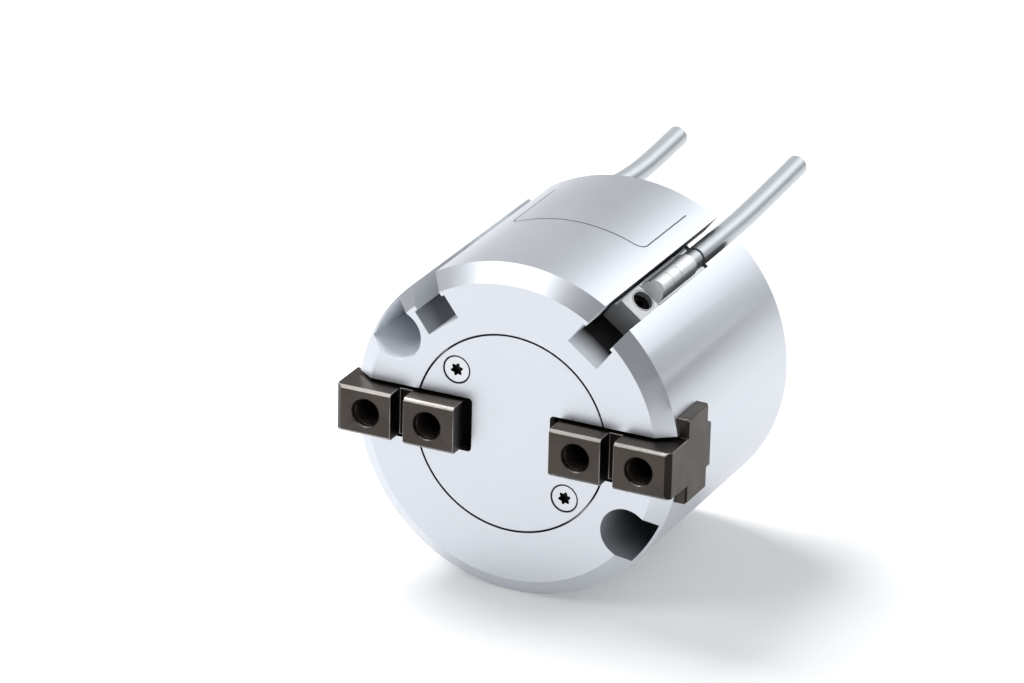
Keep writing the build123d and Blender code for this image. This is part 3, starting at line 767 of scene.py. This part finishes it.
def thread_points(mouth, inward, root, height, pitch, turns):
    """Ridge of a thread in a round hole along Y or X.

    At angle a and place s across the ridge, the depth is pitch * (a / 360 degrees + s). The radius is
    root - height * 1.2 * (1 - |2 s - 1|), but never less than root - height, which leaves a narrow flat
    on the ridge. So each turn ends where the next one starts.
    """
    angle = np.linspace(0.0, 2 * math.pi * turns, int(turns * steps_in_turn) + 1)[:, None]
    across = np.array([0.0, 0.42, 0.58, 1.0])[None, :]
    radius = root - height * np.minimum(1.0, (1.0 - np.abs(2.0 * across - 1.0)) * 1.2)
    depth = pitch * (angle / (2 * math.pi) + across)
    inward = np.array(inward, float)
    side = np.array([1.0, 0.0, 0.0]) if abs(inward[0]) < 0.5 else np.array([0.0, 1.0, 0.0])
    other = np.cross(inward, side)
    ring = np.cos(angle)[..., None] * side + np.sin(angle)[..., None] * other
    return np.array(mouth) + ring * radius[..., None] + depth[..., None] * inward


# %% Tap the jaws, the ports and the back
# Radius of the hole, height of the ridge and pitch, then where the threads start, all in metres
wide = (0.00249, 0.00030, 0.00080)
narrow = (0.00209, 0.00024, 0.00070)
jaw_mouth = -0.0536
port_mouth = -0.0302
port_places = (-0.0092, -0.0255)
rear_mouth = -0.0004
taps = []
for side, body in ((1, "jaw_right"), (-1, "jaw_left")):
    for x in jaw_holes:
        taps.append((body, (side * x / 1000, jaw_mouth, 0.0), (0, 1, 0), *wide, 12.0))
for y in port_places:
    taps.append(("housing", (port_mouth, y, 0.0), (1, 0, 0), *narrow, 8.0))
for side in (1, -1):
    place = (side * bolt_x / 1000, rear_mouth, side * bolt_z / 1000)
    taps.append(("housing", place, (0, -1, 0), *narrow, 12.0))
for number, (body, mouth, inward, root, height, pitch, turns) in enumerate(taps):
    mesh = grid_mesh("thread", thread_points(mouth, inward, root, height, pitch, turns))
    thread = bpy.data.objects.new("thread_%d" % number, mesh)
    scene.collection.objects.link(thread)
    mesh.materials.append(dark_jaw_steel if body != "housing" else satin_anodised)
    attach(thread, body)
    "dark_jaw_steel" if body != "housing" else "satin_anodised"
print(len(taps), "threads wound")

# %% [markdown]
# ## The printed frame
#
# On top of the body a thin dark line frames a bare panel. It is printed, so it has width but almost no
# height. A narrow strip is carried along the line, 0.02 mm above the round wall: along the arc, round
# a corner of 2 mm, and back along the body.


# %% Print the frame line
bend_steps = 12
front_steps = 40


def frame_path(depth_front, depth_rear, arc_half, corner):
    """Middle of the line as arc length and depth: up the left side, over the front, down the right."""
    bend = np.linspace(0.0, math.pi / 2, bend_steps)
    left_arc = -arc_half + corner - corner * np.cos(bend)
    left_depth = depth_front + corner - corner * np.sin(bend)
    left = np.stack([left_arc, left_depth], 1)
    right = np.stack([-left[::-1, 0], left[::-1, 1]], 1)
    middle = np.linspace(left[-1], right[0], front_steps)[1:-1]
    start = np.array([[-arc_half, depth_rear]])
    end = np.array([[arc_half, depth_rear]])
    return np.concatenate([start, left, middle, right, end])


def on_body(arc, depth, lift):
    """The point on the round wall at that arc length from the top and that depth, lifted a little."""
    wall = body_radius + lift
    angle = arc / body_radius
    return np.stack([wall * np.sin(angle), depth - body_length, wall * np.cos(angle)], -1) / 1000.0


path = frame_path(depth_front=25.2, depth_rear=43.6, arc_half=13.25, corner=2.0)
step = np.gradient(path, axis=0)
step /= np.linalg.norm(step, axis=1)[:, None]
across = np.stack([-step[:, 1], step[:, 0]], 1)
line_width = 0.22
edges = [path + across * line_width * share for share in (-0.5, 0.5)]
strip = np.stack([on_body(edge[:, 0], edge[:, 1], lift=0.02) for edge in edges], 1)
printed_black = moulded("printed_black", (0.03, 0.032, 0.035), 0.45, 4000.0, 0.000003)
line_mesh = grid_mesh("frame_line", strip)
line_mesh.materials.append(printed_black)
frame_line = bpy.data.objects.new("frame_line", line_mesh)
scene.collection.objects.link(frame_line)
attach(frame_line, "housing")
print("frame line", len(path), "points long")
